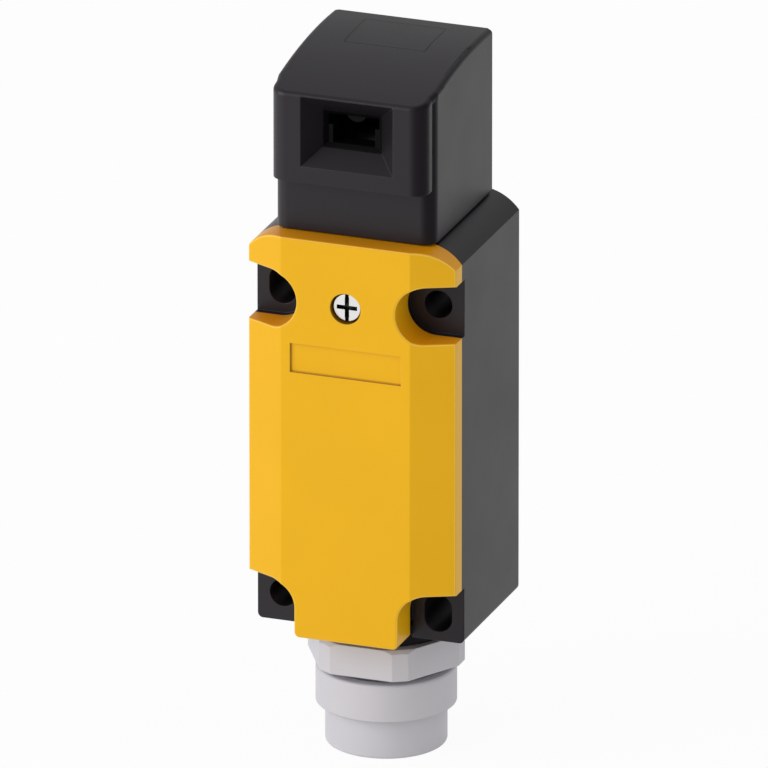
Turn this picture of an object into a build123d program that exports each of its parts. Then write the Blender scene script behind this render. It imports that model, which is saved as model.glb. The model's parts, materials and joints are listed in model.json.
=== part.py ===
from build123d import *
import math
import os

os.makedirs("parts", exist_ok=True)

# The mounting face is the plane y = 0 and the front of the switch looks along -Y.
# The origin is the centre of the four fixing holes on that face, and +Z is up.
# "Forward" sizes are distances in front of the mounting face, so y = -forward.
# Heights ending in _Z are in the part's frame, all others are lengths.

# Fixing pattern
FIX_ACROSS = 30.0
FIX_APART = 60.0
FIX_LOW = 5.4
FIX_R = 2.65
FIX_SLOT_EXTRA = 2.0

# Housing
BODY_W = 40.0
TOP_SPACE = 12.4
BODY_D = 30.9
EAR_DROP = 1.3
FLOOR = 2.6
WALL = 2.3
TOP_WALL = 2.7
FOOT_WALL = 6.2
SHOULDER_R = 9.5
SHOULDER_FLAT = 12.5
FOOT_R = 1.0
BACK_EDGE_R = 0.5
NOTCH_R = 5.45
NOTCH_IN = 5.0
NOTCH_UP = 5.5

# Cover
COVER_T = 6.9
COVER_FLAT = 24.9
COVER_SIDE = 3.3
COVER_SKIN = 2.2
COVER_LIFT = 0.3
COVER_EDGE_R = 0.4
LABEL_W = 21.4
LABEL_H = 5.6
LABEL_UP = 51.9
LABEL_DEEP = 0.45

# Cover hinge: two hooks on the cover grip a bar in the housing's foot
HINGE_IN = 1.2
HINGE_UP = 1.5
BAR_R = 0.9
HOOK_T = 1.05
HOOK_W = 4.4
HOOK_AT = 6.0
HOOK_LIP = 0.35
HINGE_GAP = 0.25
WEB_L = 3.4

# Captive cover screw
SCREW_R = 2.0
SCREW_HEAD_R = 2.7
SCREW_HEAD_H = 2.6
SCREW_SUNK = 0.9
SCREW_HEAD_GAP = 0.25
CROSS_CUT_L = 3.9
CROSS_CUT_W = 1.0
CROSS_CUT_D = 1.4
SCREW_GRIP = 5.0
SCREW_PLAY = 0.3
SCREW_BOSS_R = 3.9
SCREW_BOSS_L = 6.2
BOSS_WEB = 2.4
RETAINER_R = 3.6
RETAINER_T = 0.6

# Cover seal
SEAL_W = 1.2
SEAL_T = 0.7
SEAL_IN = 0.5
SEAL_GAP = 0.1
SOFT_GAP = 0.3

# Operating head
HEAD_W = 30.8
HEAD_D = 32.1
HEAD_BACK = 1.4
HEAD_CROWN = 4.25
HEAD_GAP = 0.2
HEAD_ARC = 112.0
HEAD_APEX_IN = 6.6
HEAD_CORNER_R = 2.6
HEAD_EDGE_R = 0.8
HEAD_TOP_R = 1.0
HEAD_CROWN_T = 1.3
COLLAR_OUT = 3.6
COLLAR_UP = 10.5
COLLAR_R = 3.0
COLLAR_IN = 0.4
COLLAR_LAP = 0.5
SPIGOT_R = 7.5
SPIGOT_L = 9.0
TURN_FIT = 0.1

# Tongue entry
MOUTH_W = 17.8
MOUTH_H = 13.5
MOUTH_UP = 13.65
FUNNEL_D = 4.05
SLOT_W = 9.7
SLOT_LOW_W = 8.1
SLOT_H = 5.5
SLOT_STEP = 2.1
SLOT_DROP = 4.05
KEY_RIB_X = 0.5
KEY_RIB_R = 2.0
KEY_RIB_H = 1.1
GUIDE_W = 19.2
GUIDE_H = 14.0
GUIDE_UP = 13.2
GUIDE_LIP = 3.3
SEAT_GAP = 0.05

# Second tongue entry, closed with a plug
PLUG_W = 15.6
PLUG_L = 11.6
PLUG_BACK = 5.6
PLUG_T = 2.6
PLUG_STEM_W = 10.8
PLUG_STEM_L = 5.2
PLUG_STEM_CUT = 0.2

# Cam and its chamber
CAM_R = 9.2
CAM_W = 13.6
CAM_FOOT_GAP = 0.4
CAM_SIDE_GAP = 0.6
TRACK_W = 6.8
CAM_TURN = 50.0
CAM_SPARE = 25.0
TRACK_STEPS = 7
DWELL_SPAN = 120.0
POCKET_ANGLES = (65.0, 155.0)
POCKET_W = 4.6
POCKET_D = 3.4
CAM_PIN_R = 2.0
CAM_PIN_L = 24.0
RUN_FIT = 0.06
CHAMBER_TOP = 24.2
CAM_CLEAR = 0.6
FRONT_WALL = 3.6

# Plunger
TRAVEL = 3.0
PLUNGER_R = 3.0
PLUNGER_FLANGE_R = 4.4
PLUNGER_FLANGE_T = 1.2
PLUNGER_NECK = 1.8
STEM_R = 2.2
STEM_L = 10.6
NOSE_GAP = 0.08
NOSE_SUNK = 1.4
PLUNGER_SPRING_H = 4.8
PLUNGER_WIRE_R = 0.4
PLUNGER_COIL_R = 3.4
SPRING_TURNS = 3.5
WIRE_SIDES = 6

# Head base
BASE_EDGE = 2.4
BASE_T = 1.6
BASE_R = 2.0
BASE_SCREW_IN = 2.2
BASE_SCREW_R = 1.1
BASE_SCREW_L = 7.0
BASE_SCREW_HEAD_R = 2.0
BASE_SCREW_HEAD_H = 0.9
BASE_SCREW_CUT = 0.4
RING_R = 0.45
RING_W = 1.2
RING_DOWN = 0.8

# Head lock
LOCK_W = 18.6
LOCK_T = 1.6
LOCK_L = 23.2
LOCK_TRAVEL = 2.0
LOCK_DOWN = 3.6
LOCK_TAB_W = 6.0
LOCK_TAB_T = 1.2
LOCK_TAB_H = 2.6
RAIL_T = 1.4
RAIL_W = 3.2
RAIL_L = 20.0

# Contact block
BLOCK_SIDE_GAP = 1.2
BLOCK_FOOT_GAP = 0.8
BLOCK_TOP_GAP = 0.25
STRIP_GAP = 0.3
RIB_GAP = 2.2
BARRIER_OUT = 5.6
BARRIER_T = 1.2
CHANNEL_W = 10.0
CHANNEL_GAP = 1.8
RIB_T = 1.2
END_T = 1.4
ROW_MARGIN = 4.9
ROWS = (-1, 0, 1)
SIDES = (-1, 1)
CHANNEL_COVER_T = 1.5
PILLAR_R = 2.4
PILLAR_H = 3.4
BLOCK_SCREW_R = 1.1
BLOCK_SCREW_IN = 4.5
BLOCK_SCREW_EDGE = 2.3
BLOCK_SCREW_HEAD_R = 1.75
BLOCK_SCREW_HEAD_H = 1.5
BLOCK_SCREW_GRIP = 3.0
BLOCK_SCREW_SEAT = 4.0
HOLE_PLAY = 0.1

# Terminals
PLATE_W = 7.2
PLATE_H = 6.8
PLATE_T = 1.0
STRIP_T = 0.8
STRIP_W = 3.2
STRIP_UP = 1.6
RIVET_R = 1.0
RIVET_H = 0.6
RIVET_IN = 0.1
CONTACT_GAP = 3.3
CLAMP_W = 6.4
CLAMP_T = 1.2
TERM_SCREW_R = 1.5
TERM_SCREW_L = 6.2
TERM_HEAD_R = 2.9
TERM_HEAD_H = 2.4
SLOT_CUT_W = 0.8
SLOT_CUT_D = 0.9

# Carrier
CARRIER_W = 4.4
CARRIER_D = 6.0
CARRIER_FOOT = 1.4
CARRIER_PLAY = 0.15
BRIDGE_END_GAP = 0.3
BRIDGE_PLAY = 0.1
LEAF_H = 1.0
LEAF_T = 0.3
LEAF_W = 2.4
PUSH_GAP = 0.1
CARRIER_WIRE_R = 0.25
CARRIER_COIL_R = 1.8

# Cable gland
GLAND_FORWARD = 16.1
NECK_R = 12.9
NECK_H = 2.8
WASHER_R = 12.4
WASHER_T = 0.6
GLAND_THREAD_R = 10.0
GLAND_THREAD_GRIP = 8.4
HEX_AF = 27.0
HEX_H = 6.05
HEX_CORNER_CUT = 1.75
HEX_EDGE_R = 0.3
HEX_CHAMFER_R = 14.1
SLEEVE_R = 10.6
GLAND_BORE_R = 7.0
INSERT_R = 8.0
INSERT_BORE_R = 5.0
INSERT_L = 14.0
NUT_GAP = 1.45
NUT_WALL = 2.25
NUT_STEP = 1.75
NUT_H = 7.05
NUT_TIP_H = 7.95
NUT_MOUTH_R = 6.5
NUT_MOUTH_T = 2.6
NUT_EDGE_R = 0.5
CAGE_L = 4.0
CAGE_T = 1.4
CAGE_FINGERS = 10
CAGE_CUT = 0.9
CAGE_RIM = 1.3

# Places worked out from the sizes above
BOTTOM_Z = -(FIX_LOW + FIX_APART / 2)
BODY_H = FIX_LOW + FIX_APART + TOP_SPACE
TOP_Z = BOTTOM_Z + BODY_H
FIX_X = FIX_ACROSS / 2
FIX_LOW_Z = -FIX_APART / 2
FIX_HIGH_Z = FIX_APART / 2
EAR_FRONT = BODY_D - EAR_DROP
COVER_FRONT = BODY_D + COVER_T
HINGE_FORWARD = BODY_D - HINGE_IN
HINGE_Z = BOTTOM_Z + HINGE_UP
HOOK_R = BAR_R + HINGE_GAP + HOOK_T
LIP_REACH = math.hypot(HINGE_IN, HINGE_UP - COVER_LIFT)

HEAD_AXIS = HEAD_BACK + HEAD_W / 2
HEAD_FRONT = HEAD_BACK + HEAD_D
HEAD_Z = TOP_Z + HEAD_GAP
BASE_W = HEAD_W - 2 * BASE_EDGE
HEAD_TOP_Z = HEAD_Z + MOUTH_UP + MOUTH_H + HEAD_CROWN
BASE_TOP_Z = HEAD_Z + BASE_T
COLLAR_Z = HEAD_Z + COLLAR_UP
COLLAR_FRONT = HEAD_FRONT + COLLAR_OUT
MOUTH_Z = HEAD_Z + MOUTH_UP + MOUTH_H / 2
THROAT = COLLAR_FRONT - FUNNEL_D
SLOT_TOP_Z = MOUTH_Z + MOUTH_H / 2 - SLOT_DROP
SLOT_Z = SLOT_TOP_Z - SLOT_H / 2
GUIDE_Z = HEAD_Z + GUIDE_UP + GUIDE_H / 2
GUIDE_FRONT = COLLAR_FRONT - GUIDE_LIP
GUIDE_BACK = HEAD_FRONT - FRONT_WALL
CAM_Z = BASE_TOP_Z + CAM_FOOT_GAP + CAM_R
CHAMBER_W = CAM_W + 2 * CAM_SIDE_GAP
CHAMBER_TOP_Z = HEAD_Z + CHAMBER_TOP
CHAMBER_BACK = HEAD_AXIS - CAM_R - CAM_CLEAR
PLUG_MID = PLUG_BACK + PLUG_L / 2

CAM_RISE = TRAVEL / math.radians(CAM_TURN)
SPIGOT_BOTTOM_Z = HEAD_Z - SPIGOT_L
NOSE_Z = BASE_TOP_Z - NOSE_SUNK
NOSE_REACH = CAM_Z - NOSE_Z
FLANGE_TOP_Z = NOSE_Z - PLUNGER_NECK
FLANGE_Z = FLANGE_TOP_Z - PLUNGER_FLANGE_T
STEM_Z = FLANGE_Z - STEM_L
SPRING_SEAT_Z = FLANGE_Z - PLUNGER_SPRING_H
LOCK_BACK = HEAD_AXIS - LOCK_L / 2
LOCK_FRONT = HEAD_AXIS + LOCK_L / 2
LOCK_TOP_Z = TOP_Z - LOCK_DOWN
LOCK_Z = LOCK_TOP_Z - LOCK_T
LOCK_HOLE_R = SPIGOT_R + SOFT_GAP
GROOVE_R = LOCK_HOLE_R - LOCK_TRAVEL - 2 * TURN_FIT

BLOCK_W = BODY_W - 2 * (WALL + BLOCK_SIDE_GAP)
BLOCK_Z = FIX_LOW_Z + NOTCH_UP + WALL + BLOCK_FOOT_GAP
BLOCK_TOP_Z = FIX_HIGH_Z - NOTCH_R - WALL - BLOCK_TOP_GAP
BLOCK_MID_Z = (BLOCK_Z + BLOCK_TOP_Z) / 2
BLOCK_FRONT = HEAD_AXIS - STRIP_W / 2 - STRIP_GAP
BARRIER_FRONT = BLOCK_FRONT + BARRIER_OUT
BLOCK_SCREW_X = BLOCK_W / 2 - BLOCK_SCREW_IN
ROW_PITCH = (BLOCK_TOP_Z - BLOCK_Z - 2 * ROW_MARGIN) / len(ROWS)
ROW_Z = [BLOCK_MID_Z + k * ROW_PITCH for k in ROWS]
TERMINAL_X = (BLOCK_W + CHANNEL_W) / 4 + RIB_T / 2
BRIDGE_L = CHANNEL_W - 2 * BRIDGE_END_GAP
CONTACT_X = BRIDGE_L / 2 - RIVET_R - RIVET_IN
BRIDGE_DOWN = CONTACT_GAP + 2 * RIVET_H - STRIP_UP
CARRIER_BACK = HEAD_AXIS - CARRIER_D / 2
CARRIER_FRONT = HEAD_AXIS + CARRIER_D / 2
CHANNEL_BACK = CARRIER_BACK - CHANNEL_GAP
RIB_FRONT = CARRIER_FRONT + RIB_GAP
WINDOW_DOWN = BRIDGE_DOWN + STRIP_T + LEAF_H
CARRIER_Z = ROW_Z[0] - WINDOW_DOWN - CARRIER_FOOT
CARRIER_TOP_Z = STEM_Z - PUSH_GAP

WASHER_Z = BOTTOM_Z - NECK_H - WASHER_T
HEX_Z = WASHER_Z - HEX_H
NUT_TOP_Z = HEX_Z - NUT_GAP
NUT_STEP_Z = NUT_TOP_Z - NUT_H
NUT_Z = NUT_STEP_Z - NUT_TIP_H
SLEEVE_Z = NUT_STEP_Z + SOFT_GAP
NUT_R = SLEEVE_R + TURN_FIT + NUT_WALL
NUT_TIP_R = NUT_R - NUT_STEP
INSERT_Z = NUT_Z + NUT_MOUTH_T + SOFT_GAP


def front_slab(outline, back, front):
    """Push a front-view outline (across, up) between two forward distances."""
    return extrude(Plane.XZ.offset(back) * outline, front - back)


def side_slab(outline, left, right):
    """Push a side-view outline (forward, up) from x = left to x = right."""
    plane = Plane(origin=(right, 0, 0), x_dir=(0, -1, 0), z_dir=(-1, 0, 0))
    return extrude(plane * outline, right - left)


def plan_slab(outline, low, high):
    """Push a plan outline (across, -forward) between two heights."""
    return extrude(Plane.XY.offset(low) * outline, high - low)


def block(width, back, front, low, high, x=0.0):
    """A plain box given by its width, its forward span and its heights."""
    return Pos(x, -(back + front) / 2, (low + high) / 2) * Box(width, front - back, high - low)


def post(radius, low, high, forward, x=0.0):
    """An upright round bar."""
    return Pos(x, -forward, (low + high) / 2) * Cylinder(radius, high - low)


def stud(radius, back, front, x, z):
    """A round bar that points forward."""
    return front_slab(Pos(x, z) * Circle(radius), back, front)


def mirrored(points):
    """A closed outline from the points of its right half."""
    left = [(-x, y) for x, y in reversed(points)]
    return make_face(Polyline(*points, *left, close=True))


def span_box(left, right, low, high):
    """A rectangle between two edges each way."""
    return Pos((left + right) / 2, (low + high) / 2) * Rectangle(right - left, high - low)


def coil(radius, wire, low, high, forward):
    """A compression spring with round wire that stands between two heights."""
    height = high - low - 2 * wire
    path = Helix(height / SPRING_TURNS, height, radius)
    section = Plane(origin=path @ 0, z_dir=path % 0) * RegularPolygon(wire, WIRE_SIDES)
    return Pos(0, -forward, low + wire) * sweep(section, path, is_frenet=True)


def save(node, *solids):
    """Write one sub-part, or a group of equal ones, as a STEP file."""
    shape = solids[0] if len(solids) == 1 else Compound(children=list(solids))
    export_step(shape, f"parts/{node}.step")


def body_outline():
    """Front view of the housing: straight sides and rounded shoulders."""
    tall = BODY_H + 2 * SHOULDER_R
    crown_w = 2 * (SHOULDER_FLAT + SHOULDER_R)
    crown = Pos(0, TOP_Z - tall / 2) * RectangleRounded(crown_w, tall, SHOULDER_R)
    outline = crown & span_box(-BODY_W / 2, BODY_W / 2, BOTTOM_Z, TOP_Z)
    return fillet(outline.vertices().group_by(Axis.Y)[0], FOOT_R)


def notch_outlines():
    """The four corner notches that leave the fixing holes free."""
    notches = Sketch()
    for side in SIDES:
        inner = FIX_X - NOTCH_R + BODY_W / 2
        notches += Pos(side * inner, FIX_HIGH_Z) * SlotOverall(BODY_W, 2 * NOTCH_R)
        corner = RectangleRounded(BODY_W, BODY_W, NOTCH_IN)
        low_x = FIX_X - NOTCH_IN + BODY_W / 2
        notches += Pos(side * low_x, FIX_LOW_Z + NOTCH_UP - BODY_W / 2) * corner
    return notches


def rim_outline():
    """The raised joint face that carries the cover."""
    return body_outline() - notch_outlines()


def cavity_outline(grow=0.0):
    """The wiring room in front view, grown by an equal margin all round."""
    room = offset(rim_outline(), amount=grow - WALL, kind=Kind.INTERSECTION)
    low = BOTTOM_Z + FOOT_WALL - grow
    high = TOP_Z - TOP_WALL + grow
    return room & span_box(-BODY_W, BODY_W, low, high)


def fixing_holes():
    """Two round and two slotted holes on the diagonals of the pattern."""
    holes = []
    for side in SIDES:
        slot = Rot(0, 0, 90) * SlotOverall(2 * FIX_R + FIX_SLOT_EXTRA, 2 * FIX_R)
        holes.append(Pos(side * FIX_X, side * FIX_HIGH_Z) * Circle(FIX_R))
        holes.append(Pos(-side * FIX_X, side * FIX_HIGH_Z) * slot)
    return [front_slab(hole, 0, EAR_FRONT) for hole in holes]


def hinge_relief():
    """Room for the cover's lip and hooks round the hinge bar."""
    half = FIX_X - NOTCH_IN
    centre = Pos(HINGE_FORWARD, HINGE_Z)
    lip = centre * Circle(LIP_REACH + HINGE_GAP)
    lip += span_box(HINGE_FORWARD, BODY_D + HINGE_GAP, BOTTOM_Z - HINGE_GAP, HINGE_Z + LIP_REACH)
    room = side_slab(lip, -half, half)
    pocket_half = HOOK_W / 2 + SOFT_GAP
    for side in SIDES:
        mid = side * HOOK_AT
        pocket = side_slab(centre * Circle(HOOK_R + HINGE_GAP), mid - pocket_half, mid + pocket_half)
        room += pocket
    return room


def hinge_bar():
    """The bar that the cover hooks grip, with webs to the foot of the housing."""
    half = FIX_X - NOTCH_IN
    bar = side_slab(Pos(HINGE_FORWARD, HINGE_Z) * Circle(BAR_R), -half, half)
    web_back = HINGE_FORWARD - WEB_L
    web = block(2 * half, web_back, HINGE_FORWARD, HINGE_Z - BAR_R, HINGE_Z + BAR_R)
    gap_w = HOOK_W + 2 * SOFT_GAP
    gap_back = web_back - SOFT_GAP
    for side in SIDES:
        web -= block(gap_w, gap_back, BODY_D, BOTTOM_Z, HINGE_Z + HOOK_R, side * HOOK_AT)
    return bar + web


def housing():
    shell = front_slab(body_outline(), 0, EAR_FRONT)
    shell = fillet(shell.faces().sort_by(Axis.Y)[-1].edges(), BACK_EDGE_R)
    shell += front_slab(rim_outline(), EAR_FRONT, BODY_D)
    shell -= front_slab(cavity_outline(), FLOOR, BODY_D)
    for hole in fixing_holes():
        shell -= hole
    shell += post(NECK_R, BOTTOM_Z - NECK_H, BOTTOM_Z, GLAND_FORWARD)
    shell -= post(GLAND_THREAD_R, BOTTOM_Z - NECK_H, BOTTOM_Z + FOOT_WALL, GLAND_FORWARD)
    shell -= post(SPIGOT_R + TURN_FIT, TOP_Z - TOP_WALL, TOP_Z, HEAD_AXIS)
    shell = shell - hinge_relief() + hinge_bar()
    boss_back = BODY_D - SCREW_BOSS_L
    boss_front = BODY_D - SEAT_GAP
    shell += stud(SCREW_BOSS_R, boss_back, boss_front, 0, FIX_HIGH_Z)
    web_half = BOSS_WEB / 2
    web_w = 2 * (FIX_X - NOTCH_R)
    shell += block(web_w, boss_back, boss_front, FIX_HIGH_Z - web_half, FIX_HIGH_Z + web_half)
    screw_tip = BODY_D - SCREW_GRIP - SCREW_PLAY
    shell -= stud(SCREW_R + SCREW_PLAY, screw_tip, boss_front, 0, FIX_HIGH_Z)
    for side in SIDES:
        rail_x = side * (LOCK_W / 2 - RAIL_T / 2 + RAIL_W / 2)
        rail_top = LOCK_Z - TURN_FIT
        shell += block(RAIL_W, LOCK_BACK, LOCK_BACK + RAIL_L, rail_top - RAIL_T, rail_top, rail_x)
    for x, z in block_screw_places():
        shell += stud(PILLAR_R, FLOOR - SEAT_GAP, FLOOR + PILLAR_H, x, z)
        shell -= stud(BLOCK_SCREW_R + SEAT_GAP, FLOOR + PILLAR_H - BLOCK_SCREW_GRIP, FLOOR + PILLAR_H, x, z)
    return shell


def cover_section(skin=0.0):
    """Plan section of the cover with its sloping side facets."""
    front = COVER_FRONT - skin
    side = BODY_D + COVER_SIDE - skin
    half = BODY_W / 2
    back = BODY_D - skin
    return mirrored([(half, -back), (half, -side), (COVER_FLAT / 2, -front)])


def cover_outline():
    """Front view of the cover: the joint face, clear of the housing's foot."""
    outline = rim_outline() & span_box(-BODY_W, BODY_W, BOTTOM_Z + COVER_LIFT, TOP_Z)
    return fillet(outline.vertices().group_by(Axis.Y)[0], FOOT_R)


def cover_hook(x):
    """A half ring that grips the hinge bar from above and behind."""
    ring = Circle(HOOK_R) - Circle(BAR_R + HINGE_GAP)
    upper = span_box(-2 * HOOK_R, 2 * HOOK_R, -HOOK_LIP, 2 * HOOK_R)
    hook = Pos(HINGE_FORWARD, HINGE_Z) * (ring & upper)
    return side_slab(hook, x - HOOK_W / 2, x + HOOK_W / 2)


def cover():
    bounds = plan_slab(cover_section(), BOTTOM_Z, TOP_Z)
    body = front_slab(cover_outline(), BODY_D, COVER_FRONT) & bounds
    slope_start = BODY_D + COVER_SIDE - COVER_EDGE_R
    body = fillet(body.edges().filter_by(lambda e: -e.center().Y > slope_start), COVER_EDGE_R)
    room = front_slab(cavity_outline(), BODY_D, COVER_FRONT)
    body -= room & plan_slab(cover_section(COVER_SKIN), BOTTOM_Z, TOP_Z)
    boss_back = BODY_D + SEAT_GAP + RETAINER_T + SEAT_GAP
    body += stud(SCREW_BOSS_R, boss_back, COVER_FRONT - COVER_SKIN / 2, 0, FIX_HIGH_Z)
    body -= stud(SCREW_R + HOLE_PLAY, boss_back, COVER_FRONT, 0, FIX_HIGH_Z)
    seat = COVER_FRONT - SCREW_SUNK - SCREW_HEAD_H
    body -= stud(SCREW_HEAD_R + SCREW_HEAD_GAP, seat, COVER_FRONT, 0, FIX_HIGH_Z)
    label = span_box(-LABEL_W / 2, LABEL_W / 2, BOTTOM_Z + LABEL_UP, BOTTOM_Z + LABEL_UP + LABEL_H)
    body -= front_slab(label, COVER_FRONT - LABEL_DEEP, COVER_FRONT)
    body -= seal_ring(SEAL_GAP, BODY_D, BODY_D + SOFT_GAP + SEAL_T)
    for side in SIDES:
        body += cover_hook(side * HOOK_AT)
    return body


def seal_ring(margin, back, front):
    """A band that follows the edge of the wiring room."""
    outer = cavity_outline(SEAL_IN + SEAL_W + margin)
    inner = cavity_outline(SEAL_IN - margin)
    return front_slab(outer - inner, back, front)


def cover_gasket():
    return seal_ring(0.0, BODY_D + SOFT_GAP, BODY_D + SOFT_GAP + SEAL_T)


def screw_retainer():
    """Spring clip behind the cover that keeps the screw captive."""
    back = BODY_D + SEAT_GAP
    ring = Circle(RETAINER_R) - Circle(SCREW_R + SEAT_GAP)
    gap = span_box(-SCREW_R / 2, SCREW_R / 2, -RETAINER_R, 0)
    return front_slab(Pos(0, FIX_HIGH_Z) * (ring - gap), back, back + RETAINER_T)


def cover_screw():
    """Captive screw with a long slot and a short cross slot."""
    seat = COVER_FRONT - SCREW_SUNK - SCREW_HEAD_H
    front = seat + SCREW_HEAD_H
    screw = stud(SCREW_R, BODY_D - SCREW_GRIP, seat, 0, FIX_HIGH_Z)
    screw += stud(SCREW_HEAD_R, seat, front, 0, FIX_HIGH_Z)
    long_slot = span_box(-SLOT_CUT_W / 2, SLOT_CUT_W / 2, -SCREW_HEAD_R, SCREW_HEAD_R)
    cross = span_box(-CROSS_CUT_L / 2, CROSS_CUT_L / 2, -CROSS_CUT_W / 2, CROSS_CUT_W / 2)
    cross += span_box(-CROSS_CUT_W / 2, CROSS_CUT_W / 2, -CROSS_CUT_L / 2, CROSS_CUT_L / 2)
    screw -= front_slab(Pos(0, FIX_HIGH_Z) * long_slot, front - SLOT_CUT_D, front)
    return screw - front_slab(Pos(0, FIX_HIGH_Z) * cross, front - CROSS_CUT_D, front)


def head_back():
    """Rear corner of the head's plans."""
    half = HEAD_W / 2
    return [(half, -HEAD_BACK - HEAD_EDGE_R), (half - HEAD_EDGE_R, -HEAD_BACK)]


def head_plan():
    """Plan of the head below its collar, with rounded front corners."""
    outline = mirrored([(HEAD_W / 2, -HEAD_FRONT)] + head_back())
    return fillet(outline.vertices().group_by(Axis.Y)[0], HEAD_CORNER_R)


def collar_side():
    """Right side of the collar, from its front to where it laps the head."""
    reach = HEAD_W / 2 - COLLAR_IN
    return [(reach, -COLLAR_FRONT), (reach, COLLAR_LAP - HEAD_FRONT)]


def collar_plan():
    """Plan of the collar, a little narrower than the head behind it."""
    outline = mirrored(collar_side())
    return fillet(outline.vertices().group_by(Axis.Y)[0], COLLAR_R)


def crown_plan():
    """Plan of the crown, which bridges the grooves beside the collar."""
    side = (HEAD_W / 2, HEAD_CORNER_R - HEAD_FRONT)
    outline = mirrored(collar_side() + [side] + head_back())
    return fillet(outline.vertices().group_by(Axis.Y)[0], COLLAR_R)


def funnel():
    """The tapered mouth that leads the tongue into the slot."""
    mouth = Plane.XZ.offset(COLLAR_FRONT) * Pos(0, MOUTH_Z) * Rectangle(MOUTH_W, MOUTH_H)
    throat = Plane.XZ.offset(THROAT) * Pos(0, SLOT_Z) * Rectangle(SLOT_W, SLOT_H)
    return loft([throat.face(), mouth.face()])


def slot_outline():
    """The shaped slot: a wide upper bar, a narrower foot and a round key rib."""
    upper = span_box(-SLOT_W / 2, SLOT_W / 2, SLOT_TOP_Z - SLOT_STEP, SLOT_TOP_Z)
    lower = span_box(-SLOT_LOW_W / 2, SLOT_LOW_W / 2, SLOT_TOP_Z - SLOT_H, SLOT_TOP_Z - SLOT_STEP)
    rib = Pos(KEY_RIB_X, SLOT_TOP_Z - KEY_RIB_H + KEY_RIB_R) * Circle(KEY_RIB_R)
    return upper + lower - rib


def guide_outline(gap=0.0):
    return Pos(0, GUIDE_Z) * Rectangle(GUIDE_W + 2 * gap, GUIDE_H + 2 * gap)


def base_screw_places():
    """Plan places (across, forward) of the four base screws."""
    reach = BASE_W / 2 - BASE_SCREW_IN
    return [(sx * reach, HEAD_AXIS + sy * reach) for sx in SIDES for sy in SIDES]


def pin_slots():
    """Two upright slots, open below, that take the cam pin and its rests."""
    half_l = CAM_PIN_L / 2 + SEAT_GAP
    half_w = CAM_PIN_R + SEAT_GAP
    slots = block(2 * half_l, HEAD_AXIS - half_w, HEAD_AXIS + half_w, BASE_TOP_Z, CAM_Z)
    return slots + side_slab(Pos(HEAD_AXIS, CAM_Z) * Circle(half_w), -half_l, half_l)


def pin_rest(side):
    """Upright on the base that holds one end of the cam pin up."""
    inner = CHAMBER_W / 2 + SEAT_GAP
    outer = CAM_PIN_L / 2
    middle = side * (inner + outer) / 2
    top = CAM_Z - CAM_PIN_R - SEAT_GAP
    return block(outer - inner, HEAD_AXIS - CAM_PIN_R, HEAD_AXIS + CAM_PIN_R, BASE_TOP_Z, top, middle)


def plug_room():
    """Recess and stem slot of the second tongue entry."""
    gap = SEAT_GAP
    low = HEAD_TOP_Z - PLUG_T
    high = HEAD_TOP_Z + PLUG_T
    room = block(PLUG_W + 2 * gap, PLUG_BACK - gap, PLUG_BACK + PLUG_L + gap, low, high)
    back = PLUG_MID - PLUG_STEM_L / 2 - gap
    front = PLUG_MID + PLUG_STEM_L / 2 + gap
    room += block(PLUG_STEM_W + 2 * gap, back, front, CHAMBER_TOP_Z - SEAT_GAP, HEAD_TOP_Z)
    return room


def crown_bounds(down=0.0):
    """Everything under the arched top of the head, or that much lower."""
    arc = Pos(HEAD_BACK + HEAD_APEX_IN, HEAD_TOP_Z - HEAD_ARC) * Circle(HEAD_ARC - down)
    return side_slab(arc, -HEAD_W, HEAD_W)


def crown():
    """The arched lid of the head with its rounded rim."""
    lid = plan_slab(crown_plan(), HEAD_Z, HEAD_TOP_Z) & crown_bounds()
    lid -= crown_bounds(HEAD_CROWN_T)
    top = lid.faces().filter_by(GeomType.CYLINDER).sort_by(Axis.Z)[-1]
    return fillet(top.edges(), HEAD_TOP_R)


def head_housing():
    body = plan_slab(head_plan(), HEAD_Z, HEAD_TOP_Z)
    body += plan_slab(collar_plan(), COLLAR_Z, HEAD_TOP_Z)
    body = (body & crown_bounds(HEAD_CROWN_T)) + crown()
    body -= block(CHAMBER_W, CHAMBER_BACK, GUIDE_BACK, HEAD_Z, CHAMBER_TOP_Z)
    passage_back = 2 * GUIDE_BACK - GUIDE_FRONT - SEAT_GAP
    passage_top = GUIDE_Z + GUIDE_H / 2 + SEAT_GAP
    body -= block(GUIDE_W + 2 * SEAT_GAP, passage_back, GUIDE_BACK, HEAD_Z, passage_top)
    body -= front_slab(guide_outline(SEAT_GAP), GUIDE_BACK - SEAT_GAP, GUIDE_FRONT)
    body -= funnel()
    body -= plug_room()
    recess_w = BASE_W + 2 * SEAT_GAP
    recess = Pos(0, -HEAD_AXIS) * RectangleRounded(recess_w, recess_w, BASE_R)
    body -= plan_slab(recess, HEAD_Z, BASE_TOP_Z)
    for x, forward in base_screw_places():
        body -= post(BASE_SCREW_R + SEAT_GAP, BASE_TOP_Z, BASE_TOP_Z + BASE_SCREW_L, forward, x)
    return body - pin_slots()


def tongue_guide():
    body = front_slab(guide_outline(), GUIDE_BACK, GUIDE_FRONT)
    body -= funnel()
    body -= front_slab(slot_outline(), GUIDE_BACK, THROAT)
    return body


def top_plug():
    plate = block(PLUG_W, PLUG_BACK, PLUG_BACK + PLUG_L, HEAD_TOP_Z - PLUG_T, HEAD_TOP_Z + PLUG_T)
    plate = plate & crown_bounds()
    back = PLUG_MID - PLUG_STEM_L / 2
    front = PLUG_MID + PLUG_STEM_L / 2
    stem = block(PLUG_STEM_W, back, front, CHAMBER_TOP_Z + PLUG_STEM_CUT, HEAD_TOP_Z - PLUG_T)
    return plate + stem


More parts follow.
